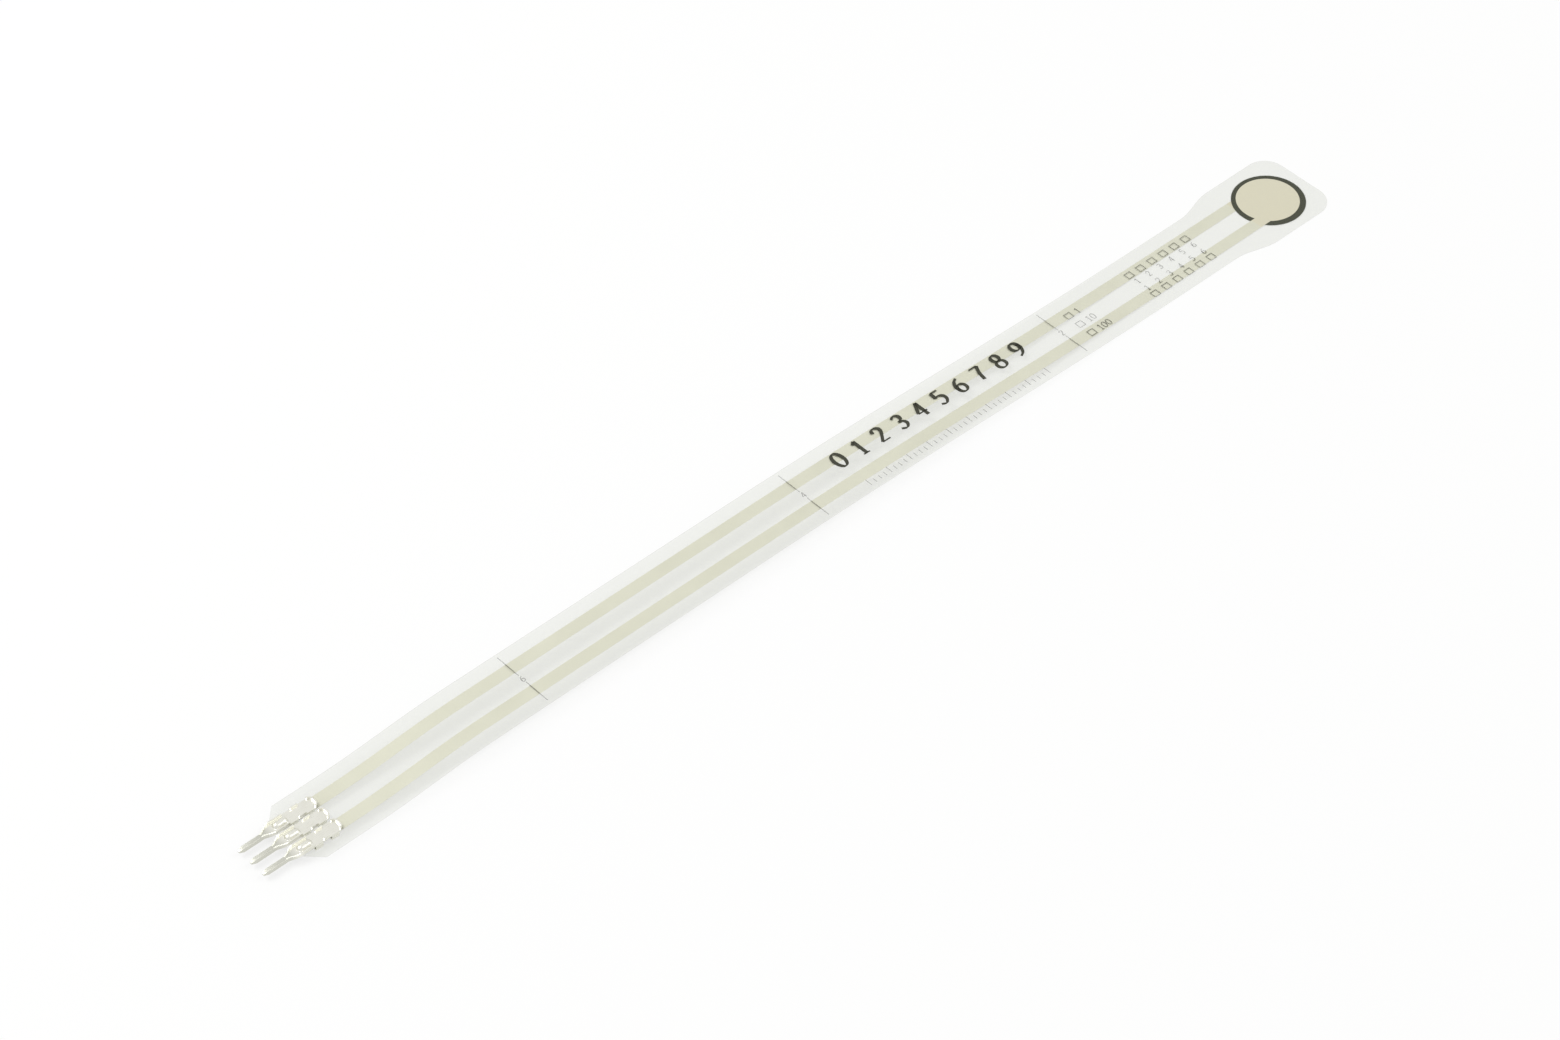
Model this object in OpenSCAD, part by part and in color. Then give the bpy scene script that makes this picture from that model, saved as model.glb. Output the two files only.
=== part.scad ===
// Thin-film force sensor: two polyester films with silver tracks and pressure-sensitive ink
// on their inner faces, bonded round a sensing disc, with three crimped pins at the tail.
// The origin is the centre of the sensing disc on the underside of the head.
// +X runs away from the pins, +Z is the printed side.

/* [Film outline] */
// Distance from the centre of the sensing disc to the end of the head
head_reach = 7.2; // [6.5:0.1:10]
// Width across the head
head_w = 14.5; // [13:0.1:20]
// Radius of the two corners at the end of the head
head_corner_r = 3.4; // [1:0.1:5]
// Distance from the disc centre back to where the shoulders start
head_back = 5.5; // [3:0.1:12]
// Length of each shoulder, where the head narrows to the strip
shoulder_len = 7.5; // [4:0.1:12]
// Width of the strip
strip_w = 11.5; // [10:0.1:12.9]
// Whole length of the film, from the end of the head to the pin end
film_len = 192.4; // [180:0.1:250]
// Size of the two cut corners at the pin end
tail_cut = 2.4; // [1:0.1:2.8]

/* [Layers] */
// Thickness of each polyester film
film_t = 0.075; // [0.05:0.005:0.125]
// Thickness of the adhesive between the films
adhesive_t = 0.053; // [0.04:0.001:0.1]
// Thickness of the printed silver
silver_t = 0.0125; // [0.005:0.0005:0.015]
// Thickness of the outer legend print
legend_t = 0.015; // [0.01:0.001:0.03]

/* [Sensing disc] */
// Diameter of each silver disc
silver_d = 9.53; // [8:0.01:10.5]
// Diameter of the pressure-sensitive ink over the silver
ink_d = 11.17; // [10.6:0.01:12]
// Sideways shift of the ink from its silver disc, towards the near track
ink_shift = 0.15; // [0:0.01:0.2]
// Gap between the ink and the edge of the opening in the adhesive
ink_gap = 0.1; // [0.05:0.01:0.5]

/* [Tracks] */
// Width of each silver track
track_w = 2; // [1:0.1:2.4]
// Distance from the pin end of the film to the end of the silver
track_setback = 1; // [0.3:0.1:2.5]

/* [Lie of the strip] */
// Height of the long arch of the strip over the surface that it lies on
arch_h = 1.9; // [0.9:0.05:3]
// Distance from the disc centre back to where the strip leaves the surface
arch_back = 14; // [13.5:0.5:30]
// Length over which it rises to the top of the arch
rise_len = 95; // [60:1:110]
// Length over which it comes down again, to the height at which the contacts hold it
fall_len = 25.5; // [15:0.5:50]
// Length of strip that is straight again before its pin end
tail_flat = 7.7; // [7.2:0.1:20]
// Length of the short flats that the curve is drawn with
lay_step = 2.5; // [1:0.5:5]

/* [Crimped contacts] */
// Distance between neighbouring pins
pitch = 2.54; // [2.5:0.01:2.8]
// Width of each contact over its sides
contact_w = 2.1; // [1.8:0.05:2.3]
// Thickness of the contact's sheet metal
sheet_t = 0.2; // [0.15:0.01:0.25]
// Length of contact that lies on the film
grip_len = 7; // [6:0.1:9]
// Height of the upturned rim above the contact's floor
rim_h = 0.32; // [0.1:0.01:0.6]
// Radius of the contact's rounded inner corners
grip_corner_r = 0.75; // [0.3:0.05:0.9]
// Length of each tine along the strip
tine_len = 1.1; // [0.6:0.05:1.5]
// Distance from the film's end to the middle of the outer tines
tine_back = 3; // [2.6:0.1:3.4]
// Distance between the two tines on a side
tine_pitch = 2.6; // [1.8:0.1:2.8]
// Outer radius of the curl that clenches each tine under the film
curl_r = 0.48; // [0.35:0.01:0.5]
// Straight drop of a tine between the film and its curl
tine_drop = 0.37; // [0.1:0.01:0.6]
// Gap round a tine where it pierces the film
pierce_gap = 0.02; // [0.01:0.01:0.05]

/* [Stiffening dome] */
// Distance from the film's end to the middle of the long pressed dome
dome_back = 1.3; // [1.25:0.01:1.6]
// Distance between the centres of the dome's two round ends
dome_len = 1.1; // [0.4:0.05:1.2]
// Radius of the dome's round ends where they meet the contact's floor
dome_r = 0.6; // [0.4:0.01:0.65]
// Height of the dome above the contact's floor
dome_h = 0.4; // [0.2:0.01:0.5]

/* [Pins] */
// Side of the square pin
pin_w = 0.64; // [0.5:0.01:0.8]
// Length of pin and neck beyond the end of the film
pin_reach = 5.4; // [4:0.1:9]
// Length over which the contact narrows to the pin
neck_len = 1.9; // [1:0.1:3]
// Gap between the end of the film and the folded neck
neck_gap = 0.1; // [0.05:0.01:0.3]
// Length of the tapered tip of the pin
tip_len = 0.7; // [0.3:0.05:1.2]
// Side of the pin's blunt end
tip_w = 0.32; // [0.2:0.01:0.45]

/* [Printed legend] */
// Distance between the trim lines, the first of them this far from the end of the head
trim_pitch = 50.8; // [40:0.1:60]
// Number of trim lines
trim_count = 3; // [1:1:4]
// Width of a trim line
trim_line_w = 0.16; // [0.1:0.01:0.3]
// Distance from the film's edge to the end of a trim line
trim_inset = 0.6; // [0.3:0.1:2]
// Gap in the middle of a trim line, where its number stands
trim_gap = 1.5; // [1:0.1:3]
// Side of a printed check box
box_w = 1.25; // [0.8:0.05:1.6]
// Width of a check box's line
box_line_w = 0.14; // [0.08:0.01:0.25]
// Distance from the disc centre back to the first of the paired boxes
box_back = 15.5; // [14:0.1:20]
// Distance between boxes along the strip
box_pitch = 2.36; // [1.8:0.01:3]
// Number of boxes in each of the two rows
box_count = 6; // [1:1:8]
// Half of the distance between the two rows of boxes
box_side = 2.65; // [2:0.05:4]
// Sideways shift of all the boxes from the centre line, towards the near track
box_shift = 0.42; // [0:0.01:0.6]
// Distance from the disc centre back to the boxes across the strip
range_box_back = 40.2; // [38:0.1:42]
// Distance between the boxes across the strip
range_box_pitch = 2.35; // [1.8:0.01:3]

/* [Hidden] */

film_total_t = 2 * film_t + adhesive_t;
mid_z = film_total_t / 2;
end_x = head_reach - film_len;
adhesive_hole_d = ink_d + 2 * ink_gap;
track_end_x = end_x + track_setback;
tail_lift = tine_drop + curl_r;
tail_top = tail_lift + film_total_t;
fall_end_x = end_x + tail_flat;
step_count = ceil((-arch_back - fall_end_x) / lay_step);
range_box_count = 3;
contact_count = 3;
cut_h = 4 * (arch_h + tail_top);
smooth = 96;
arc_steps = 16;

film_color = [0.93, 0.94, 0.91, 0.45];
adhesive_color = [0.90, 0.91, 0.87, 0.5];
silver_color = [0.78, 0.76, 0.66];
ink_color = [0.16, 0.16, 0.13];
tin_color = [0.80, 0.80, 0.77];
print_color = [0.12, 0.12, 0.09];

// Points of an arc from angle a0 to angle a1
function arc(cx, cy, r, a0, a1) =
    [for (i = [0:arc_steps]) let (a = a0 + (a1 - a0) * i / arc_steps) [cx + r * cos(a), cy + r * sin(a)]];

// The same points on the other side of the strip, in reverse order
function mirrored(points) = [for (i = [len(points) - 1:-1:0]) [points[i][0], -points[i][1]]];

// A change from 0 to 1 that starts and ends without any bend, as a springy strip does
function ease(t) = t <= 0 ? 0 : t >= 1 ? 1 : t * t * t * (10 - 15 * t + 6 * t * t);

// Height of the underside of the strip above the surface that it lies on
function lie(x) =
    arch_h * ease((-arch_back - x) / rise_len)
    - (arch_h - tail_lift) * ease((fall_end_x + fall_len - x) / fall_len);

// Places along the strip where the curve bends, from the pins to the head
stations = concat(
    [end_x],
    [for (i = [0:step_count]) fall_end_x + (-arch_back - fall_end_x) * i / step_count],
    [head_reach]
);

// Half of the film's outline: head end, rounded corner, shoulder, strip and cut corner
shoulder_drop = (head_w - strip_w) / 2;
half_outline = concat(
    arc(head_reach - head_corner_r, head_w / 2 - head_corner_r, head_corner_r, 0, 90),
    [for (i = [0:arc_steps])
        let (t = i / arc_steps)
        [-head_back - shoulder_len * t, head_w / 2 - shoulder_drop * (1 - cos(180 * t)) / 2]],
    [[end_x + tail_cut, strip_w / 2], [end_x, strip_w / 2 - tail_cut]]
);

module film_plan() {
    polygon(concat(half_outline, mirrored(half_outline)));
}

// A straight track from under its contact to the disc, and the disc itself
module conductor_plan(y) {
    translate([track_end_x, y - track_w / 2]) square([-track_end_x, track_w]);
    circle(d = silver_d, $fn = smooth);
}

// A band that follows the lie of the strip, between two heights above its underside
module band(z0, z1) {
    under = [for (x = stations) [x, lie(x) + z0]];
    over = [for (i = [len(stations) - 1:-1:0]) [stations[i], lie(stations[i]) + z1]];
    rotate([90, 0, 0])
        linear_extrude(height = head_w + 2, center = true)
            polygon(concat(under, over));
}

// One layer of the strip, with the outline of its child
module layer(z0, z1) {
    intersection() {
        band(z0, z1);
        translate([0, 0, -cut_h / 2]) linear_extrude(height = cut_h) children();
    }
}

// Places of the contacts and of their tines, used by every layer that the tines pierce
module at_contacts() {
    for (i = [0:contact_count - 1])
        translate([end_x, (i - (contact_count - 1) / 2) * pitch, tail_top]) children();
}

module at_tines() {
    for (i = [0:1], side = [-1, 1])
        translate([tine_back + i * tine_pitch, side * (contact_w - sheet_t) / 2, 0]) children();
}

module tine_slots() {
    at_contacts()
        at_tines()
            cube([tine_len + 2 * pierce_gap, sheet_t + 2 * pierce_gap, 4 * film_total_t], center = true);
}

module bottom_film() {
    color(film_color)
        difference() {
            layer(0, film_t) film_plan();
            tine_slots();
        }
}

module top_film() {
    color(film_color)
        difference() {
            layer(film_t + adhesive_t, film_total_t) film_plan();
            tine_slots();
        }
}

module lower_silver() {
    layer(film_t, film_t + silver_t) conductor_plan(pitch);
}

module upper_silver() {
    layer(film_t + adhesive_t - silver_t, film_t + adhesive_t) conductor_plan(-pitch);
}

module lower_conductor() {
    color(silver_color)
        difference() {
            lower_silver();
            tine_slots();
        }
}

module upper_conductor() {
    color(silver_color)
        difference() {
            upper_silver();
            tine_slots();
        }
}

// The ink covers its silver disc and meets the other film's ink half way between the films
module lower_sensing_ink() {
    color(ink_color)
        difference() {
            translate([0, -ink_shift, film_t]) cylinder(d = ink_d, h = mid_z - film_t, $fn = smooth);
            lower_silver();
        }
}

module upper_sensing_ink() {
    color(ink_color)
        difference() {
            translate([0, -ink_shift, mid_z]) cylinder(d = ink_d, h = mid_z - film_t, $fn = smooth);
            upper_silver();
        }
}

module adhesive_spacer() {
    color(adhesive_color)
        difference() {
            layer(film_t, film_t + adhesive_t) film_plan();
            translate([0, -ink_shift, 0])
                cylinder(d = adhesive_hole_d, h = cut_h, center = true, $fn = smooth);
            lower_silver();
            upper_silver();
            tine_slots();
        }
}

// Half of a contact's outline, from its rounded inner end down the neck, drawn smaller by an inset
function grip_outline(inset) = concat(
    arc(grip_len - grip_corner_r, contact_w / 2 - grip_corner_r, grip_corner_r - inset, 0, 90),
    [for (i = [0:arc_steps])
        let (t = i / arc_steps)
        [-neck_len * t, pin_w / 2 - inset + (contact_w - pin_w) * (1 + cos(180 * t)) / 4]]
);

module grip_plan(inset) {
    half = grip_outline(inset);
    polygon(concat(half, mirrored(half)));
}

// Whole outline of a contact seen from above, with its pin towards -X
module contact_plan() {
    half = concat(grip_outline(0), [[tip_len - pin_reach, pin_w / 2], [-pin_reach, tip_w / 2]]);
    polygon(concat(half, mirrored(half)));
}

// Outline of a contact seen from the side: floor on the film, neck folded down to a square pin
module contact_profile() {
    pin_z = sheet_t - pin_w;
    taper = (pin_w - tip_w) / 2;
    polygon([
        [grip_len, 0], [grip_len, sheet_t],
        [tip_len - pin_reach, sheet_t], [-pin_reach, sheet_t - taper],
        [-pin_reach, pin_z + taper], [tip_len - pin_reach, pin_z],
        [-neck_len, pin_z], [-neck_gap, 0],
    ]);
}

module contact_floor() {
    intersection() {
        translate([0, 0, -cut_h / 2]) linear_extrude(height = cut_h) contact_plan();
        rotate([90, 0, 0]) linear_extrude(height = 2 * contact_w, center = true) contact_profile();
    }
}

// Upturned rim, the outline less the same one drawn a sheet's thickness smaller. It is left out
// where the tines are bent down, and it runs out along the neck, which turns into the pin there.
module contact_rim() {
    translate([0, 0, sheet_t])
        difference() {
            intersection() {
                linear_extrude(height = rim_h)
                    difference() {
                        grip_plan(0);
                        grip_plan(sheet_t);
                    }
                rotate([90, 0, 0])
                    linear_extrude(height = 2 * contact_w, center = true)
                        polygon([[-neck_len, 0], [0, rim_h], [grip_len, rim_h], [grip_len, 0]]);
            }
            at_tines() cube([tine_len + 2 * sheet_t, 4 * sheet_t, 4 * rim_h], center = true);
        }
}

// A tine goes straight down through the film and curls back up against its underside
module tine() {
    drop = film_total_t + tine_drop;
    leg = sheet_t / 2;
    rotate([90, 0, 90]) {
        translate([-leg, -drop, -tine_len / 2]) cube([sheet_t, drop + sheet_t / 2, tine_len]);
        difference() {
            translate([leg - curl_r, -drop, 0]) cylinder(r = curl_r, h = tine_len, center = true, $fn = smooth);
            translate([leg - curl_r, -drop, 0])
                cylinder(r = curl_r - sheet_t, h = 2 * tine_len, center = true, $fn = smooth);
            translate([leg - 2 * curl_r - 1, -drop, -tine_len]) cube([2 * curl_r + 2, 2 * curl_r, 2 * tine_len]);
        }
        translate([leg - 2 * curl_r, -drop, -tine_len / 2]) cube([sheet_t, tine_drop, tine_len]);
    }
}

module tines() {
    for (i = [0:1], side = [-1, 1])
        translate([tine_back + i * tine_pitch, side * (contact_w - sheet_t) / 2, 0])
            mirror([0, side < 0 ? 1 : 0, 0]) tine();
}

// Radius of the ball whose cap has the dome's foot and height
dome_ball_r = (dome_r * dome_r + dome_h * dome_h) / (2 * dome_h);

// Two balls and a round bar between them, which are the dome's outer or inner face
module dome_body(r) {
    translate([dome_back, 0, sheet_t + dome_h - dome_ball_r]) {
        for (side = [-1, 1])
            translate([side * dome_len / 2, 0, 0]) sphere(r = r, $fn = smooth);
        rotate([0, 90, 0]) cylinder(r = r, h = dome_len, center = true, $fn = smooth);
    }
}

module contact() {
    difference() {
        union() {
            contact_floor();
            contact_rim();
            tines();
            intersection() {
                dome_body(dome_ball_r);
                translate([dome_back - dome_len / 2 - dome_r, -dome_r, sheet_t / 2])
                    cube([dome_len + 2 * dome_r, 2 * dome_r, 2 * dome_h]);
            }
        }
        dome_body(dome_ball_r - sheet_t);
    }
}

module near_contact() {
    color(tin_color) translate([end_x, -pitch, tail_top]) contact();
}

module middle_contact() {
    color(tin_color) translate([end_x, 0, tail_top]) contact();
}

module far_contact() {
    color(tin_color) translate([end_x, pitch, tail_top]) contact();
}

module trim_line_plan(x) {
    reach = strip_w / 2 - trim_inset;
    for (side = [-1, 1])
        translate([x - trim_line_w / 2, side > 0 ? trim_gap / 2 : -reach])
            square([trim_line_w, reach - trim_gap / 2]);
}

module box_plan() {
    difference() {
        square(box_w, center = true);
        square(box_w - 2 * box_line_w, center = true);
    }
}

module legend_plan() {
    for (i = [1:trim_count])
        trim_line_plan(head_reach - i * trim_pitch);
    for (i = [0:box_count - 1], side = [-1, 1])
        translate([-box_back - i * box_pitch, side * box_side - box_shift]) box_plan();
    for (i = [0:range_box_count - 1])
        translate([-range_box_back, (i - (range_box_count - 1) / 2) * range_box_pitch - box_shift])
            box_plan();
}

module printed_legend() {
    color(print_color) layer(film_total_t, film_total_t + legend_t) legend_plan();
}

bottom_film();
top_film();
adhesive_spacer();
lower_conductor();
upper_conductor();
lower_sensing_ink();
upper_sensing_ink();
near_contact();
middle_contact();
far_contact();
printed_legend();
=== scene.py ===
# %% [markdown]
# A thin-film force sensor
#
# The object is a strip of two clear films with silver tracks and dark ink between them and
# three crimped pins at its end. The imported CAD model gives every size: this script dresses it.
# The films, the prints and the folded metal are made again as smooth surfaces in the same
# place, because a renderer shows each small flat of a thin, shiny sheet.

import bpy
import bmesh
import numpy as np
from mathutils import Matrix, Vector


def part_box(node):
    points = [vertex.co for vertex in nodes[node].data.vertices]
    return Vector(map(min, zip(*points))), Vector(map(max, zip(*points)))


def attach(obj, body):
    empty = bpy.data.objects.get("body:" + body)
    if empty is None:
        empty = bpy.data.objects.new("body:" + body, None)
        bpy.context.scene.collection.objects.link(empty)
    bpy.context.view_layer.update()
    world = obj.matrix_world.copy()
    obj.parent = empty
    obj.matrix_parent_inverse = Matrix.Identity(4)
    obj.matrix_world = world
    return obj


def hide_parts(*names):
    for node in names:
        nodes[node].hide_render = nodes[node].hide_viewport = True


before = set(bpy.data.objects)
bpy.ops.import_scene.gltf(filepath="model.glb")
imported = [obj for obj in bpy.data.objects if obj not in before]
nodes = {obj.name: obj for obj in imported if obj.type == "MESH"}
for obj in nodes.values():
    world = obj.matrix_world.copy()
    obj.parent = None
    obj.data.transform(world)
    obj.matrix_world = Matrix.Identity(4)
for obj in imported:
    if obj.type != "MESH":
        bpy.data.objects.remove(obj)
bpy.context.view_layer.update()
MM = 0.001

# %% [markdown]
# The camera comes first. The photograph was taken from the pin end's near side, about 45
# degrees above the strip, through a long lens: the strip barely narrows towards its far end. A
# constraint could aim the camera at the strip. Three axes worked out from two angles do the same
# in plain numbers, and stay level.

# %% Camera
PHOTO_WIDTH = 1560
FOCAL_PIXELS = 4272
SENSOR_MM = 36.0
camera_azimuth = np.radians(-42.69)
camera_height = np.radians(45.40)
camera_distance = 589.2 * MM
look_at = np.array([-98.7, 0.1, 0.0]) * MM


def camera_axes(azimuth, height):
    """Right, up and backward directions of a level camera: backward points from the target to
    the camera, right is level, and up is square to both."""
    level = np.cos(height)
    back = np.array([np.sin(azimuth) * level, -np.cos(azimuth) * level, np.sin(height)])
    right = np.array([np.cos(azimuth), np.sin(azimuth), 0.0])
    return right, np.cross(back, right), back


right, up, back = camera_axes(camera_azimuth, camera_height)
camera = bpy.data.objects.new("camera", bpy.data.cameras.new("camera"))
bpy.context.scene.collection.objects.link(camera)
camera.data.sensor_width = SENSOR_MM
camera.data.lens = FOCAL_PIXELS * SENSOR_MM / PHOTO_WIDTH
camera.data.clip_start = 0.01
camera.data.clip_end = 20.0
place = look_at + back * camera_distance
turn_and_place = np.eye(4)
turn_and_place[:3, :3] = np.stack([right, up, back], 1)
turn_and_place[:3, 3] = place
camera.matrix_world = Matrix(turn_and_place.tolist())
bpy.context.scene.camera = camera
print("lens", round(camera.data.lens, 1), "mm, camera at", np.round(place, 3))

# %% [markdown]
# A small helper for meshes. Nearly everything on this object is one closed profile carried
# along a path: a disc is a circle that grows and shrinks, a tine is a rectangle that goes
# round a curl, a stroke of print is a rectangle that follows a pen. So one function joins a
# stack of closed sections into a closed skin. A curve with a bevel profile could do that too,
# but its profile can't change its form on the way, as a contact's does. Only the films need
# another form, a grid.


# %% A piece from vertices and faces
WELD = 0.001 * MM


def new_piece(name, vertices, faces, smooth_angle=40.0):
    """A mesh object of these vertices and faces, with points closer than a micron made one, its
    faces turned outwards, and smooth shading wherever two faces meet at less than the angle."""
    mesh = bpy.data.meshes.new(name)
    mesh.from_pydata([tuple(v) for v in vertices], [], [tuple(f) for f in faces])
    bm = bmesh.new()
    bm.from_mesh(mesh)
    bmesh.ops.remove_doubles(bm, verts=bm.verts, dist=WELD)
    bmesh.ops.recalc_face_normals(bm, faces=bm.faces)
    sharpest = float(np.radians(smooth_angle))
    for edge in bm.edges:
        edge.smooth = edge.is_manifold and edge.calc_face_angle(0.0) < sharpest
    bm.to_mesh(mesh)
    bm.free()
    mesh.polygons.foreach_set("use_smooth", np.ones(len(mesh.polygons), bool))
    piece = bpy.data.objects.new(name, mesh)
    bpy.context.scene.collection.objects.link(piece)
    return piece


# %% Skin over a stack of sections
def skin(sections):
    """Vertices and faces of a closed skin: each section is a closed loop of as many points,
    neighbouring loops are joined by quads, and the first and last loops are capped."""
    sections = np.asarray(sections, float)
    count, size = sections.shape[:2]
    i, j = np.meshgrid(np.arange(count - 1), np.arange(size), indexing="ij")
    k = (j + 1) % size
    quads = np.stack([i * size + j, i * size + k, (i + 1) * size + k, (i + 1) * size + j], -1)
    caps = [list(range(size - 1, -1, -1)), list(range((count - 1) * size, count * size))]
    return sections.reshape(-1, 3), quads.reshape(-1, 4).tolist() + caps


def join_skins(parts):
    """Several skins as one list of vertices and one of faces."""
    vertices, faces, start = [], [], 0
    for part_vertices, part_faces in parts:
        vertices.append(part_vertices)
        faces += [[start + v for v in face] for face in part_faces]
        start += len(part_vertices)
    return np.concatenate(vertices), faces


# %% [markdown]
# The strip doesn't lie flat: it arches up two millimetres and comes down to the height at which
# the crimps hold its end. The CAD film already holds that curve, so its own corners are read
# for it: at every place along the strip, the lowest corner there is the underside. A modifier
# could bend flat pieces, but a height read from the film keeps every layer on it to a few
# microns.


# %% Lie of the strip
def underside(node):
    """Places along X where a film has corners, and the height of its underside at each."""
    corners = np.array([v.co for v in nodes[node].data.vertices])
    along = np.round(corners[:, 0], 6)
    places = np.unique(along)
    return places, np.array([corners[along == x, 2].min() for x in places])


bend_x, bend_z = underside("bottom_film")


def lie(x):
    """Height of the strip's underside, straight between the CAD model's bends."""
    return np.interp(x, bend_x, bend_z)


film_low, film_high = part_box("bottom_film")
head_x, tail_x = film_high.x, film_low.x
head_half = film_high.y
tail_top = lie(tail_x)
print("bends:", len(bend_x), "highest underside", round(bend_z.max() / MM, 3), "mm")
print("tail lies", round(tail_top / MM, 3), "mm up, head reaches", round(head_x / MM, 2), "mm")

# %% [markdown]
# The outline is worked out, not traced: a square end with two round corners, a pair of
# S-shaped shoulders, the long parallel strip and two cut corners at the pins. It could be cut
# out of a plate, but that leaves long thin faces that bend badly. So it is one function, the
# half width at each place along the strip, and every bend of the strip gets a place.

# %% Outline of the films
corner_radius = 3.4 * MM
shoulder_start = -5.5 * MM
shoulder_length = 7.5 * MM
strip_half = 5.75 * MM
tail_cut = 2.4 * MM
bend_room = 0.15 * MM


def outline(steps=24):
    """Places along the strip, from the pins to the head, and the half width at each. The
    corner is a quarter circle, and the shoulder is half a cosine wave. Between them, where the
    sides are parallel, the places are the bends, less those close to a corner."""
    cut = np.array([0.0, 0.5, 1.0]) * tail_cut
    first = tail_x + tail_cut + bend_room
    last = shoulder_start - shoulder_length - bend_room
    bends = bend_x[(bend_x > first) & (bend_x < last)]
    t = np.linspace(1, 0, steps)
    a = np.linspace(0, np.pi / 2, steps)
    x = np.concatenate([
        tail_x + cut, bends,
        shoulder_start - shoulder_length * t,
        head_x - corner_radius + corner_radius * np.sin(a),
    ])
    half = np.concatenate([
        strip_half - tail_cut + cut, np.full(len(bends), strip_half),
        head_half - (head_half - strip_half) * (1 - np.cos(np.pi * t)) / 2,
        head_half - corner_radius + corner_radius * np.cos(a),
    ])
    return x, half


def outline_loop(steps=24):
    """The outline as one closed loop of points, up the far side and back down the near side."""
    x, half = outline(steps)
    return np.concatenate([np.column_stack([x, half]), np.column_stack([x[::-1], -half[::-1]])])


# %% Walls and sheets
def wall(loop, low, high):
    """A band that stands on a closed loop, from one height above the underside to another."""
    count = len(loop)
    vertices = np.empty((2, count, 3))
    vertices[..., :2] = loop
    vertices[..., 2] = lie(loop[:, 0]) + np.array([[low], [high]])
    i = np.arange(count)
    k = (i + 1) % count
    return vertices.reshape(-1, 3), np.stack([i, k, count + k, count + i], -1).tolist()


def sheet(outer, inner, across=13):
    """The outer face of a film and its cut edge, at two heights above the underside: points
    across the strip at each place along it are joined by quads, and the border of that grid
    is carried to the inner height."""
    x, half = outline()
    side = np.linspace(1, -1, across)
    points = np.empty((len(x), across, 3))
    points[..., 0] = x[:, None]
    points[..., 1] = half[:, None] * side
    points[..., 2] = lie(x)[:, None] + outer
    corner = np.arange(points.size // 3).reshape(len(x), across)
    quads = np.stack([corner[:-1, :-1], corner[:-1, 1:], corner[1:, 1:], corner[1:, :-1]], -1)
    border = np.concatenate([corner[0], corner[1:, -1], corner[-1, -2::-1], corner[-2:0:-1, 0]])
    points = points.reshape(-1, 3)
    carried = points[border] + [0, 0, inner - outer]
    below = len(points) + np.arange(len(border))
    band = np.stack([border, np.roll(border, -1), np.roll(below, -1), below], -1)
    return np.concatenate([points, carried]), quads.reshape(-1, 4).tolist() + band.tolist()


# %% [markdown]
# The layers have their real thicknesses: the films are 75 microns, the silver a sixth of
# that. Each film could be a closed slab, but a ray would then pass more clear faces than the
# renderer follows. Where a film is bonded, light passes from it into the adhesive without a
# trace, so each film is drawn with its outer face and its cut edge, and the adhesive with its
# cut edge and the round wall of its opening. Faces that would lie in each other are two
# microns apart.

# %% Films and adhesive
film_t = 0.075 * MM
adhesive_t = 0.053 * MM
silver_t = 0.0125 * MM
strip_t = 2 * film_t + adhesive_t
adhesive_top = film_t + adhesive_t
ease = 0.002 * MM
ink_radius = 11.17 * MM / 2
ink_shift = 0.15 * MM
ink_gap = 0.1 * MM
CIRCLE = 160


def circle(radius, y=0.0):
    """Points round a circle about a place on the strip's cross line."""
    a = np.linspace(0, 2 * np.pi, CIRCLE, endpoint=False)
    return np.column_stack([radius * np.cos(a), y + radius * np.sin(a)])


bottom_film = new_piece("bottom_film_sheet", *sheet(2 * ease, film_t - ease))
top_film = new_piece("top_film_sheet", *sheet(strip_t, adhesive_top + ease))
cut_edge = wall(outline_loop(), film_t, adhesive_top)
opening = wall(circle(ink_radius + ink_gap, -ink_shift), film_t + ease, adhesive_top - ease)
adhesive = new_piece("adhesive_edges", *join_skins([cut_edge, opening]))
for piece, node, slot in (
    (bottom_film, "bottom_film", "polyester_film"),
    (top_film, "top_film", "polyester_film"),
    (adhesive, "adhesive_spacer", "adhesive"),
):
    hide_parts(node)
    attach(piece, "root")
print("film grid:", len(bottom_film.data.vertices), "points each")

# %% [markdown]
# Each silver print is a straight track and a disc in one. It could be painted on the film, but
# a layer of its own hides what lies behind it from every side. The track's end follows the
# circle of the disc, so the two meet without a seam.

# %% Silver tracks and discs
pitch = 2.54 * MM
track_half = 1.0 * MM
track_end = tail_x + 1.0 * MM
track_turn = -6.0 * MM
track_room = 1.0 * MM
disc_radius = 9.53 * MM / 2


def track_skin(y, low, high, across=9):
    """A band along the strip, with a place at each of the strip's bends. From the turn in front
    of the disc, every thread of it runs on to where it meets the disc's circle."""
    s = np.linspace(-1, 1, across)
    side = y + track_half * np.concatenate([s, s[::-1]])
    rise = np.concatenate([np.full(across, low), np.full(across, high)])
    meet = -np.sqrt(disc_radius**2 - side**2)
    inner = bend_x[(bend_x > track_end + track_room) & (bend_x < track_turn - track_room / 2)]
    x = np.concatenate([[track_end], inner, [track_turn, 0.0]])
    sections = np.empty((len(x), 2 * across, 3))
    sections[..., 0] = np.where(x[:, None] >= 0, meet, x[:, None])
    sections[..., 1] = side
    sections[..., 2] = lie(sections[..., 0]) + rise
    return skin(sections)


def disc_skin(radius, low, high, y=0.0):
    """A flat disc as a stack of circles: out over the underside, up the edge and back in."""
    hub = 0.02 * MM
    rings = [(hub, low), (radius, low), (radius, high), (hub, high)]
    return skin([np.column_stack([circle(r, y), np.full(CIRCLE, z)]) for r, z in rings])


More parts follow.
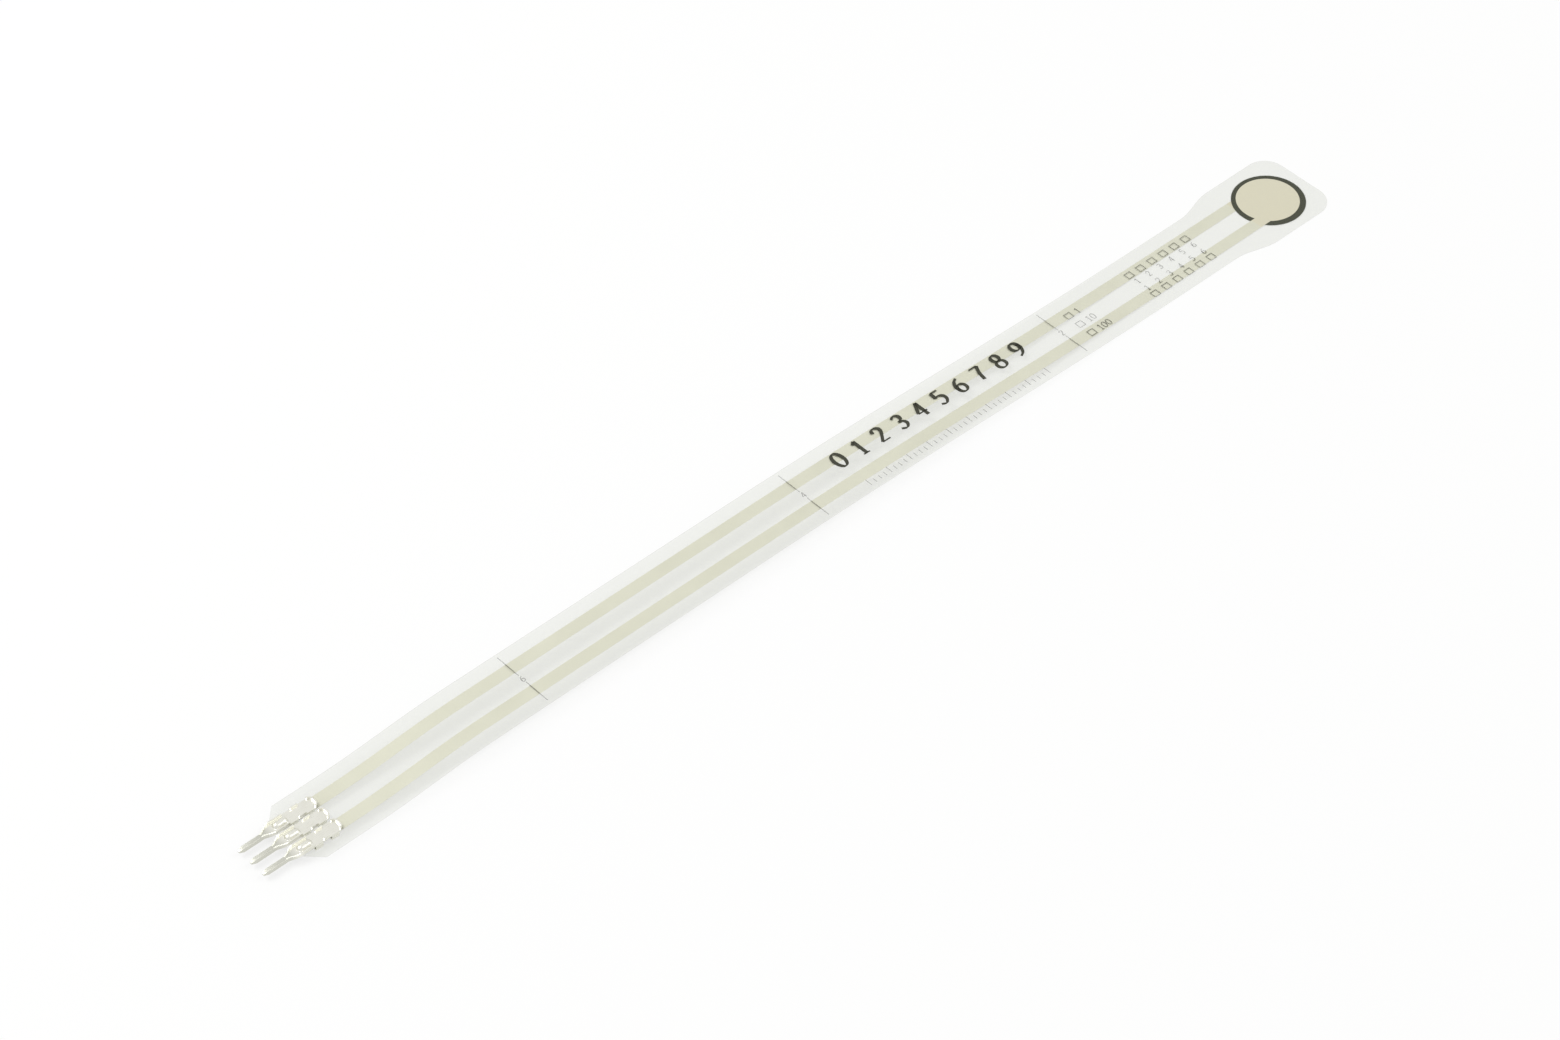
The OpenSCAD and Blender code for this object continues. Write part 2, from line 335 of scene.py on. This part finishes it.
silver_low = (film_t, film_t + silver_t)
silver_high = (adhesive_top - silver_t, adhesive_top)


def silver_skin(y, low, high):
    """A track and the disc that it runs into."""
    return join_skins([track_skin(y, low, high), disc_skin(disc_radius, low, high)])


lower_silver = new_piece("lower_silver_print", *silver_skin(pitch, *silver_low))
upper_silver = new_piece("upper_silver_print", *silver_skin(-pitch, *silver_high))
for piece, node in ((lower_silver, "lower_conductor"), (upper_silver, "upper_conductor")):
    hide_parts(node)
    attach(piece, "root")

# %% [markdown]
# The dark ink is printed over each silver disc and a little past its edge, and that edge is
# the ring that shows. From above, the near track runs in over the ink and breaks the ring.
# The ink lies just under the silver, so that the silver covers it. A ring alone would look the
# same, but the real print is a whole disc, and whole discs need no inner edge.

# %% Sensing ink
mid = film_t + adhesive_t / 2
lower_layer = disc_skin(ink_radius, film_t + ease, mid - ease, -ink_shift)
upper_layer = disc_skin(ink_radius, mid + ease, adhesive_top - 2 * ease, -ink_shift)
lower_ink = new_piece("lower_ink_print", *lower_layer)
upper_ink = new_piece("upper_ink_print", *upper_layer)
for piece, node in ((lower_ink, "lower_sensing_ink"), (upper_ink, "upper_sensing_ink")):
    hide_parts(node)
    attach(piece, "root")
print("ring", round((ink_radius - disc_radius) / MM, 2), "mm wide")

# %% [markdown]
# A contact is folded from one sheet. Its floor, rim, dome, neck and pin are one long form, and
# the profile across it changes along the way: an open channel over the film, then a solid
# square pin. Boxes joined by booleans would leave hard seams on a part this small. So the
# profile is worked out at stations along the contact, and each section has the same number of
# points, so that the channel's floor can turn into the pin's top. A contact has its own frame
# first: X runs from the cut end of the film towards the head, and heights are those above the
# film.

# %% Sizes and outline of a contact
contact_half = 1.05 * MM
sheet_t = 0.2 * MM
grip_length = 7.0 * MM
grip_corner = 0.75 * MM
rim_height = 0.32 * MM
pin_half = 0.32 * MM
pin_reach = 5.4 * MM
neck_length = 1.9 * MM
neck_gap = 0.1 * MM
tip_length = 0.7 * MM
tip_half = 0.16 * MM
dome_back = 1.3 * MM
dome_half = 0.55 * MM
dome_foot = 0.6 * MM
dome_height = 0.4 * MM
tine_length = 1.1 * MM
tine_places = np.array([3.0, 5.6]) * MM
curl_radius = 0.48 * MM
tine_drop = 0.37 * MM
tine_inset = 0.01 * MM
notch_half = tine_length / 2 + sheet_t
step_half = 0.0001 * MM
step_room = 0.035 * MM


def side_of(x, inset):
    """Half width of the contact's outline at x: a quarter circle at the inner end, straight
    sides, half a cosine wave down the neck, a straight pin and a taper at its tip."""
    radius = grip_corner - inset
    centre = grip_length - grip_corner
    around = np.sqrt(np.clip(radius**2 - np.clip(x - centre, 0, radius) ** 2, 0, None))
    grip = contact_half - inset - radius + around
    t = np.clip(-x / neck_length, 0, 1)
    neck = pin_half - inset + (contact_half - pin_half) * (1 + np.cos(np.pi * t)) / 2
    pin = tip_half + (pin_half - tip_half) * np.clip((x + pin_reach) / tip_length, 0, 1)
    return np.where(x > centre, grip, np.where(x > -neck_length, neck, pin))


# %% Body of a contact
def contact_stations(corner_steps=12, dome_steps=25, neck_steps=14):
    """Places along a contact. A step in its height has two places almost on each other, and
    nothing else close by."""
    end_wall = grip_length - sheet_t
    steps = np.concatenate([tine_places - notch_half, tine_places + notch_half, [end_wall]])
    a = np.linspace(0, np.pi / 2, corner_steps)
    corner = grip_length - grip_corner + grip_corner * np.sin(a)
    dome = dome_back + (dome_half + dome_foot) * np.cos(np.linspace(0, np.pi, dome_steps))
    neck = -neck_length * np.linspace(0.06, 1, neck_steps)
    single = np.array([-pin_reach, tip_length - pin_reach, -neck_gap, 0.0, tine_places.mean()])
    smooth = np.concatenate([corner, dome, neck, single])
    clear = np.abs(smooth[:, None] - steps).min(1) > step_room
    return np.unique(np.concatenate([steps - step_half, steps + step_half, smooth[clear]]))


def contact_body(floor_points=15):
    """Skin of the body. Each section runs along the underside, up the outer wall, over the rim,
    down to the floor, across it and back. The rim is left out at the tines, and its height runs
    out along the neck. The dome is a part of a ball, with its middle drawn out in length. Where
    a section has no wall, its inner line only divides a flat top."""
    x = contact_stations()
    in_notch = np.any(np.abs(x[:, None] - tine_places) < notch_half, 1)
    rim = np.where(in_notch, 0.0, rim_height * np.clip(1 + x / neck_length, 0, 1))
    full_end = x > grip_length - sheet_t
    outer = side_of(x, 0.0)
    walled = np.minimum(side_of(x, sheet_t), outer - sheet_t)
    inner = np.where(full_end, outer - 0.3 * sheet_t, walled)
    inner = np.clip(inner, 0.3 * outer, outer - 0.1 * sheet_t)
    inner = np.where(x > -neck_length, inner, 0.8 * outer)
    taper = np.clip((-x - (pin_reach - tip_length)) / tip_length, 0, 1) * (pin_half - tip_half)
    fold = np.clip((-x - neck_gap) / (neck_length - neck_gap), 0, 1)
    low = (sheet_t - 2 * pin_half) * fold + taper
    top = sheet_t - taper
    s = np.linspace(1, -1, floor_points)
    floor_y = inner[:, None] * s
    ball = (dome_foot**2 + dome_height**2) / (2 * dome_height)
    past_middle = np.clip(np.abs(x[:, None] - dome_back) - dome_half, 0, None)
    reach = np.hypot(past_middle, floor_y)
    cap = np.sqrt(np.clip(ball**2 - reach**2, 0, None)) - (ball - dome_height)
    dome = np.where(reach < dome_foot, np.clip(cap, 0, None), 0.0)
    floor_z = np.where(full_end[:, None], (top + rim)[:, None], top[:, None] + dome)
    crown = top + rim
    ys = np.column_stack([-outer, outer, outer, inner, floor_y, -inner, -outer])
    zs = np.column_stack([low, low, crown, crown, floor_z, crown, crown])
    return skin(np.stack([x[:, None] * np.ones(ys.shape[1]), ys, zs], -1))


# %% [markdown]
# The tines go straight down through the films and are curled back up against the underside.
# A flat bar could be bent round with a modifier, but a profile carried along the path, always
# square to it, gives the same curl with no flat bar to keep. A tine starts inside the body, a
# hair in from its side, because two faces in one plane would show as black.


# %% Tines
def carry(path, normals, width, thick):
    """Sections of a flat bar along a path in the Y-Z plane: at each point four corners, half a
    thickness to either side along the normal and half a width to either side along X."""
    corners = np.array([[-1, -1], [1, -1], [1, 1], [-1, 1]]) * 0.5
    sections = np.empty((len(path), 4, 3))
    sections[..., 0] = corners[:, 0] * width
    sections[..., 1] = path[:, None, 0] + corners[:, 1] * thick * normals[:, None, 0]
    sections[..., 2] = path[:, None, 1] + corners[:, 1] * thick * normals[:, None, 1]
    return sections


def tine_path(turns=20):
    """Middle line of a tine, down, round half a circle and up, with the normal at each point."""
    leg = contact_half - sheet_t / 2 - tine_inset
    bend = curl_radius - sheet_t / 2
    low = -strip_t - tine_drop
    a = np.linspace(0, -np.pi, turns)
    arc = np.column_stack([leg - bend + bend * np.cos(a), low + bend * np.sin(a)])
    path = np.concatenate([[[leg, sheet_t / 2]], arc, [[leg - 2 * bend, -strip_t - ease]]])
    normals = np.concatenate([[[1.0, 0.0]], np.column_stack([np.cos(a), np.sin(a)]), [[-1.0, 0.0]]])
    return path, normals


def contact_tines():
    """The four tines of a contact, two on each side."""
    sections = carry(*tine_path(), tine_length, sheet_t)
    skins = []
    for x in tine_places:
        for side in (1, -1):
            skins.append(skin(sections * [1, side, 1] + [x, 0, 0]))
    return skins


# %% Three contacts
contact_vertices, contact_faces = join_skins([contact_body(), *contact_tines()])
contacts = []
for name, row in (("near", -1), ("middle", 0), ("far", 1)):
    place = np.array([tail_x, row * pitch, tail_top + strip_t])
    piece = new_piece(f"{name}_crimp_pin", contact_vertices + place, contact_faces, 30.0)
    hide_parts(f"{name}_contact")
    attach(piece, "root")
    contacts.append(piece)
print("contact:", len(contact_vertices), "points each")

# %% [markdown]
# The numbers are drawn with a pen. A text object could give them, but its flat fill would cut
# through the bow of the strip. A broad pen held at a slant makes a stroke thick in one
# direction and thin in the other, and that alone gives a plain numeral the contrast of
# printed ones. Each numeral is a few smooth strokes in a box one unit high.


# %% Strokes of the numerals
def smooth_line(points, steps=10):
    """A smooth curve through the points: each stretch is the cubic whose slopes at its ends
    follow the neighbouring points."""
    p = np.asarray(points, float)
    if len(p) == 2:
        return p[0] + np.linspace(0, 1, steps)[:, None] * (p[1] - p[0])
    before = np.concatenate([[2 * p[0] - p[1]], p[:-2]])
    after = np.concatenate([p[2:], [2 * p[-1] - p[-2]]])
    t = np.linspace(0, 1, steps, endpoint=False)[None, :, None]
    a, b = p[:-1, None], p[1:, None]
    slope_a, slope_b = (b - before[:, None]) / 2, (after[:, None] - a) / 2
    curve = (
        (2 * t**3 - 3 * t**2 + 1) * a + (t**3 - 2 * t**2 + t) * slope_a
        + (3 * t**2 - 2 * t**3) * b + (t**3 - t**2) * slope_b
    )
    return np.concatenate([curve.reshape(-1, 2), p[-1:]])


def oval(cx, cy, rx, ry):
    """Points round an ellipse, from its right side all the way back to it."""
    a = np.linspace(0, 2 * np.pi, 33)
    return np.column_stack([cx + rx * np.cos(a), cy + ry * np.sin(a)])


# %% The ten numerals
NUMERALS = {
    "0": [oval(0.3, 0.5, 0.25, 0.47)],
    "1": [
        smooth_line([(0.32, 0.02), (0.32, 0.97)]),
        smooth_line([(0.14, 0.8), (0.32, 0.97)]),
        smooth_line([(0.14, 0.02), (0.5, 0.02)]),
    ],
    "2": [
        smooth_line([
            (0.08, 0.74), (0.16, 0.92), (0.33, 0.97), (0.5, 0.86), (0.51, 0.68), (0.36, 0.42),
            (0.08, 0.04),
        ]),
        smooth_line([(0.08, 0.04), (0.55, 0.04)]),
    ],
    "3": [
        smooth_line([(0.1, 0.86), (0.3, 0.97), (0.49, 0.86), (0.46, 0.62), (0.25, 0.53)]),
        smooth_line([(0.25, 0.53), (0.48, 0.43), (0.53, 0.22), (0.34, 0.02), (0.07, 0.12)]),
    ],
    "4": [
        smooth_line([(0.42, 0.02), (0.42, 0.97)]),
        smooth_line([(0.42, 0.97), (0.05, 0.3)]),
        smooth_line([(0.05, 0.3), (0.58, 0.3)]),
    ],
    "5": [
        smooth_line([(0.14, 0.95), (0.52, 0.95)]),
        smooth_line([(0.14, 0.95), (0.12, 0.56)]),
        smooth_line([(0.12, 0.56), (0.3, 0.62), (0.5, 0.5), (0.52, 0.24), (0.32, 0.02), (0.07, 0.1)]),
    ],
    "6": [
        smooth_line([(0.48, 0.95), (0.24, 0.78), (0.09, 0.48), (0.1, 0.2)]),
        oval(0.31, 0.29, 0.22, 0.27),
    ],
    "7": [
        smooth_line([(0.07, 0.94), (0.55, 0.94)]),
        smooth_line([(0.55, 0.94), (0.34, 0.5), (0.24, 0.02)]),
    ],
    "8": [
        oval(0.3, 0.73, 0.19, 0.23),
        oval(0.3, 0.26, 0.24, 0.25),
    ],
    "9": [
        smooth_line([(0.12, 0.04), (0.36, 0.2), (0.51, 0.5), (0.5, 0.78)]),
        oval(0.29, 0.7, 0.22, 0.27),
    ],
}
NUMERAL_WIDTH = 0.6
NUMERAL_ADVANCE = 0.68
PEN_SLANT = np.radians(8.0)


# %% The pen
def pen_skin(line, thin, thick, low, high):
    """A stroke as a skin: at each point the pen's edge is square to the stroke, and its width
    goes from thin to thick with how far the stroke turns away from the pen's slant."""
    ahead = np.gradient(line, axis=0)
    ahead /= np.linalg.norm(ahead, axis=1, keepdims=True) + 1e-12
    across = np.column_stack([-ahead[:, 1], ahead[:, 0]])
    turn = np.abs(ahead[:, 1] * np.cos(PEN_SLANT) - ahead[:, 0] * np.sin(PEN_SLANT))
    half = (thin + (thick - thin) * turn)[:, None] / 2
    one, other = line + across * half, line - across * half
    sections = np.empty((len(line), 4, 3))
    for corner, (side, level) in enumerate(((one, low), (other, low), (other, high), (one, high))):
        sections[:, corner, :2] = side
        sections[:, corner, 2] = lie(side[:, 0]) + level
    return skin(sections)


# %% [markdown]
# The printing lies on the outer face, a hundredth of a millimetre thick. The trim lines and
# the check boxes are the CAD model's own solids, so only their numbers are missing: the lines
# are numbered like a ruler and the boxes in rows, at the distances that the solids have.
# They could be painted by the film's material, but as strokes they stay sharp from close by.

# %% Numerals on the strip
print_low = strip_t + ease
print_high = strip_t + 0.012 * MM


def write_number(text, x, y, height, thin, thick):
    """A number centred at x, y: its strokes scaled to the height, read towards the head."""
    skins = []
    width = (NUMERAL_ADVANCE * (len(text) - 1) + NUMERAL_WIDTH) * height
    for place, numeral in enumerate(text):
        corner = np.array([x - width / 2 + place * NUMERAL_ADVANCE * height, y - height / 2])
        for stroke in NUMERALS[numeral]:
            skins.append(pen_skin(corner + stroke * height, thin, thick, print_low, print_high))
    return skins


box_back = 15.5 * MM
box_pitch = 2.36 * MM
box_shift = 0.42 * MM
range_back = 40.2 * MM
range_pitch = 2.35 * MM
trim_pitch = 50.8 * MM
small_pen = (0.11 * MM, 0.15 * MM)
box_number = 1.15 * MM
box_number_rows = np.array([1.02, -0.98]) * MM - box_shift
range_number = 1.25 * MM
range_indent = 1.35 * MM
range_digit = 0.4 * MM
trim_number = 1.1 * MM
small_marks = []
for place in range(6):
    x = -box_back - place * box_pitch
    for y in box_number_rows:
        small_marks += write_number(str(6 - place), x, y, box_number, *small_pen)
for place, label in enumerate(("100", "10", "1")):
    x = -range_back + range_indent + range_digit * len(label)
    y = (place - 1) * range_pitch - box_shift
    small_marks += write_number(label, x, y, range_number, *small_pen)
for place in (1, 2, 3):
    x = head_x - place * trim_pitch
    small_marks += write_number(str(2 * place), x, 0.0, trim_number, *small_pen)
small_numbers = new_piece("small_numbers", *join_skins(small_marks))

# %% [markdown]
# A plain row of numerals fills the middle of the strip, over fine graduations, four to a
# numeral. They are written with the same pen, held broader for the numerals and finer for the
# graduations, so the whole print looks like one hand's.

# %% Row of numerals and graduations
row_start = -86.0 * MM
row_step = 3.9 * MM
row_y = 1.75 * MM
row_height = 3.1 * MM
broad_pen = (0.2 * MM, 0.6 * MM)
numerals = "0123456789"
bold_marks = []
for place, numeral in enumerate(numerals):
    x = row_start + place * row_step
    bold_marks += write_number(numeral, x, row_y, row_height, *broad_pen)
bold_numbers = new_piece("numeral_row", *join_skins(bold_marks))

quarters = 4
graduation_foot = -4.9 * MM
graduation_long = 1.3 * MM
graduation_short = 0.8 * MM
fine_pen = (0.1 * MM, 0.1 * MM)
graduations = []
for place in range(quarters * (len(numerals) - 1) + 1):
    x = row_start + place * row_step / quarters
    length = graduation_short if place % quarters else graduation_long
    line = np.array([[x, graduation_foot], [x, graduation_foot + length]])
    graduations.append(pen_skin(line, *fine_pen, print_low, print_high))
graduation_marks = new_piece("graduations", *join_skins(graduations))
for piece in (small_numbers, bold_numbers, graduation_marks):
    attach(piece, "root")
print("strokes:", len(small_marks) + len(bold_marks) + len(graduations))

# %% [markdown]
# Materials could be wired up node by node, but a page of links is hard to read. Here they are
# written as sums. A socket is wrapped so that adding or multiplying it makes the Math node, and
# any other node comes from one method that takes its type, its settings and its inputs.


# %% Shader sums
class Value:
    """A socket that can be added, taken away, multiplied and divided."""

    def __init__(self, maker, socket):
        self.maker = maker
        self.socket = socket

    def _sum(self, operation, a, b):
        return self.maker.node("ShaderNodeMath", {"operation": operation}, {0: a, 1: b})

    def __add__(self, other):
        return self._sum("ADD", self, other)

    def __radd__(self, other):
        return self._sum("ADD", other, self)

    def __sub__(self, other):
        return self._sum("SUBTRACT", self, other)

    def __rsub__(self, other):
        return self._sum("SUBTRACT", other, self)

    def __mul__(self, other):
        return self._sum("MULTIPLY", self, other)

    def __rmul__(self, other):
        return self._sum("MULTIPLY", other, self)

    def __truediv__(self, other):
        return self._sum("DIVIDE", self, other)

    def above(self, limit):
        """One where the value is above the limit, and nothing elsewhere."""
        return self._sum("GREATER_THAN", self, limit)

    def size(self):
        """The value without its sign."""
        return self._sum("ABSOLUTE", self, 0.0)

    def held(self):
        """The value kept between nothing and one."""
        return self.maker.node("ShaderNodeClamp", {}, {"Value": self})


# %% A material under construction
class Finish:
    """A material under construction, with its Principled shader at hand."""

    def __init__(self, name):
        self.material = bpy.data.materials.new(name)
        self.material.use_nodes = True
        self.tree = self.material.node_tree
        self.shader = next(n for n in self.tree.nodes if n.type == "BSDF_PRINCIPLED")
        self.output = next(n for n in self.tree.nodes if n.type == "OUTPUT_MATERIAL")

    def connect(self, target, value):
        """A link to a socket, or a plain value on it."""
        if isinstance(value, Value):
            self.tree.links.new(value.socket, target)
        else:
            target.default_value = value

    def node(self, kind, settings, inputs, output=0):
        """A node of a type, with its settings, then the values or links of its inputs."""
        made = self.tree.nodes.new(kind)
        for key, value in settings.items():
            setattr(made, key, value)
        for key, value in inputs.items():
            self.connect(made.inputs[key], value)
        return Value(self, made.outputs[output])

    def place(self):
        """Object coordinates, in metres."""
        return self.node("ShaderNodeTexCoord", {}, {}, "Object")

    def part(self, where, axis):
        """One part of a place: its X, Y or Z."""
        return self.node("ShaderNodeSeparateXYZ", {}, {0: where}, axis)

    def noise(self, where, scale, detail=2.0, rough=0.5):
        """Cloudy values about a half, with so many clouds to the metre."""
        inputs = {"Vector": where, "Scale": scale, "Detail": detail, "Roughness": rough}
        return self.node("ShaderNodeTexNoise", {"noise_dimensions": "3D"}, inputs)

    def blend(self, amount, a, b):
        """A colour between two colours."""
        return self.node("ShaderNodeMix", {"data_type": "RGBA"}, {0: amount, 6: a, 7: b}, 2)

    def bump(self, height, strength, distance):
        """A surface direction that leans with the slope of a height."""
        inputs = {"Strength": strength, "Distance": distance, "Height": height}
        return self.node("ShaderNodeBump", {}, inputs)

    def set(self, **sockets):
        """Values or links for the shader's sockets, by their names."""
        for key, value in sockets.items():
            self.connect(self.shader.inputs[key.replace("_", " ")], value)


# %% Colours
def rgb(r, g, b):
    """A colour given as it shows on the screen, 0 to 255, turned to the linear values of light."""
    c = np.array([r, g, b]) / 255
    linear = np.where(c <= 0.04045, c / 12.92, ((c + 0.055) / 1.055) ** 2.4)
    return (*linear.tolist(), 1.0)


# %% [markdown]
# Polyester film this thin is clear but not invisible: it takes a little light away on each of
# its faces and scatters it, so the strip reads as a pale grey-green band on white. Glass that
# bends light would be truer at the edges and much slower. A face that is mostly see-through
# gives the same band. A slow ripple, far wider than the film is thick, is the only unevenness
# in it.

# %% Film finish
film = Finish("polyester_film")
where = film.place()
cloud = film.noise(where, 90.0)
ripple = film.noise(where, 160.0, 1.0)
film.set(
    Base_Color=film.blend(cloud, rgb(138, 145, 104), rgb(150, 157, 118)),
    Roughness=0.12 + 0.08 * cloud,
    Alpha=0.08 + 0.018 * cloud,
    Normal=film.bump(ripple, 0.15, 0.4 * MM),
    IOR=1.57,
)

glue = Finish("clear_adhesive")
haze = glue.noise(glue.place(), 250.0)
glue.set(
    Base_Color=glue.blend(haze, rgb(196, 198, 186), rgb(212, 214, 202)),
    Roughness=0.5,
    Alpha=0.3,
)

# %% [markdown]
# Screen-printed silver is matt and warm, more like grey-beige paint than metal, so it is only
# a quarter metallic. The screen leaves a fine grain, and the layer is uneven over millimetres:
# two noises, one far finer than the other. The disc, with dark ink behind it, is a little
# warmer than the tracks.

# %% Silver finish
disc_side = -5.2 * MM
silver = Finish("printed_silver")
where = silver.place()
grain = silver.noise(where, 9000.0, 3.0, 0.6)
patch = silver.noise(where, 220.0, 2.0)
on_track = 1 - silver.part(where, 0).above(disc_side)
uneven = (0.6 * patch + 0.4 * grain).held()
track_tone = silver.blend(uneven, rgb(208, 207, 190), rgb(226, 225, 209))
silver.set(
    Base_Color=silver.blend(on_track, rgb(217, 212, 191), track_tone),
    Roughness=0.42 + 0.16 * grain,
    Metallic=0.25,
    Normal=silver.bump(grain, 0.12, 0.01 * MM),
)

# %% [markdown]
# The sensing ink is a matt near-black with a fine tooth, and the legend is a thinner print of
# the same sort. Its real lines are still finer than these, and could be drawn finer, but they
# would then flicker from a step away. So they are made fainter: the print lets the pale film
# show through, and over the silver tracks it is made denser, as painted shadow that the print
# casts on the silver below.

# %% Ink finishes
ink = Finish("sensing_ink")
tooth = ink.noise(ink.place(), 7000.0, 3.0, 0.6)
ink.set(
    Base_Color=ink.blend(tooth, rgb(30, 31, 24), rgb(48, 49, 40)),
    Roughness=0.6 + 0.2 * tooth,
    Normal=ink.bump(tooth, 0.2, 0.01 * MM),
)


def legend_finish(name, cover_film, cover_silver_and_shadow):
    """Dark print whose cover is one value over clear film and a higher one over the tracks,
    where the extra cover is painted shadow of the print on the silver below.
    """
    made = Finish(name)
    where = made.place()
    speck = made.noise(where, 5000.0, 2.0)
    # Over the tracks the cover is raised: painted shadow of the print on the silver below.
    over_track_shadowed = 1 - (made.part(where, 1).size() - pitch).size().above(track_half)
    cover = cover_film + (cover_silver_and_shadow - cover_film) * over_track_shadowed
    made.set(
        Base_Color=made.blend(speck, rgb(34, 35, 22), rgb(58, 58, 40)),
        Roughness=0.45 + 0.2 * speck,
        Alpha=(cover - 0.2 * speck + 0.1).held(),
    )
    return made


legend = legend_finish("legend_print", 0.24, 0.32)
bold_legend = legend_finish("numeral_print", 0.93, 0.96)
fine_legend = legend_finish("graduation_print", 0.3, 0.34)

# %% [markdown]
# The contacts are tinned. Tin is bright but soft: it takes small scratches along the direction
# in which the strip of metal was drawn. Its colour turns darker on the pins. The scratches are
# a noise stretched along the contact, because a picture of scratches would have to be wrapped
# round every fold.

# %% Tin finish
tin = Finish("tinned_metal")
where = tin.place()
drawn = tin.node("ShaderNodeMapping", {}, {"Vector": where, "Scale": (0.06, 1.0, 1.0)})
scratch = tin.noise(drawn, 12000.0, 3.0, 0.7)
stain = tin.noise(where, 900.0, 2.0)
# The colour turns darker over the first 1.2 mm past the film's end, along the pins.
darker_on_pins = ((tail_x - tin.part(where, 0)) / (1.2 * MM)).held()
body_tin = tin.blend(stain, rgb(236, 235, 223), rgb(250, 249, 241))
tin.set(
    Base_Color=tin.blend(darker_on_pins, body_tin, rgb(213, 213, 202)),
    Metallic=0.92,
    Roughness=0.2 + 0.2 * scratch,
    Normal=tin.bump(scratch, 0.15, 0.006 * MM),
)

# %% [markdown]
# Each finish goes on its pieces. The trim lines and check boxes keep the CAD model's shape,
# which is right as it is, so they only get the print's material in place of their own.

# %% Put the finishes on
for pieces, finish in (
    ((bottom_film, top_film), film),
    ((adhesive,), glue),
    ((lower_silver, upper_silver), silver),
    ((lower_ink, upper_ink), ink),
    (contacts, tin),
    ((small_numbers,), legend),
    ((bold_numbers,), bold_legend),
    ((graduation_marks,), fine_legend),
):
    for piece in pieces:
        piece.data.materials.append(finish.material)
legend_data = nodes["printed_legend"].data
legend_data.materials.clear()
legend_data.materials.append(legend.material)

# %% [markdown]
# The floor is plain white paper. To the camera, and to the tin that mirrors it, most of its
# brightness is light of its own, so that it reaches white. The last quarter is lit by the lamps
# and the room, so the faint shadow under the raised part of the strip stays.

# %% Floor
floor_half = 3.0
own_light = 0.75
floor_corners = floor_half * np.array([[-1, -1, 0], [1, -1, 0], [1, 1, 0], [-1, 1, 0]])
floor = new_piece("floor", floor_corners, [[0, 1, 2, 3]])
paper = Finish("white_floor")
camera_ray = paper.node("ShaderNodeLightPath", {}, {}, "Is Camera Ray")
glossy_ray = paper.node("ShaderNodeLightPath", {}, {}, "Is Glossy Ray")
transmission_ray = paper.node("ShaderNodeLightPath", {}, {}, "Is Transmission Ray")
seen = (camera_ray + glossy_ray + transmission_ray).held()
paper.set(Base_Color=rgb(245, 245, 244), Roughness=0.9, Specular_IOR_Level=0.0)
lit = Value(paper, paper.shader.outputs[0])
shine = paper.node("ShaderNodeEmission", {}, {"Color": (1, 1, 1, 1), "Strength": 0.95})
mixed = paper.node("ShaderNodeMixShader", {}, {0: seen * own_light, 1: lit, 2: shine})
paper.connect(paper.output.inputs["Surface"], mixed)
floor.data.materials.append(paper.material)

# %% [markdown]
# The light is a bright, even room with two large soft lamps. A picture of a studio could light
# it too, but an even room keeps every colour as it is written. The stronger lamp stands on the
# far side of the strip, so that what little shadow there is falls on the near side.

# %% Room and lamps
world = bpy.data.worlds.new("studio")
bpy.context.scene.world = world
world.use_nodes = True
sky = world.node_tree.nodes["Background"]
sky.inputs["Color"].default_value = (1.0, 1.0, 1.0, 1.0)
sky.inputs["Strength"].default_value = 0.75


def softbox(name, place, target, size, power):
    """A square area lamp at a place, turned to face the target."""
    lamp = bpy.data.objects.new(name, bpy.data.lights.new(name, "AREA"))
    lamp.data.size = size
    lamp.data.energy = power
    lamp.location = place
    lamp.rotation_euler = (Vector(target) - Vector(place)).to_track_quat("-Z", "Y").to_euler()
    bpy.context.scene.collection.objects.link(lamp)


strip_middle = (-0.09, 0, 0)
softbox_size = 0.6
softbox("key", (-0.5, 0.5, 0.9), strip_middle, softbox_size, 6.0)
softbox("fill", (0.5, -0.4, 0.8), strip_middle, softbox_size, 2.0)
bpy.context.scene.view_settings.view_transform = "Standard"
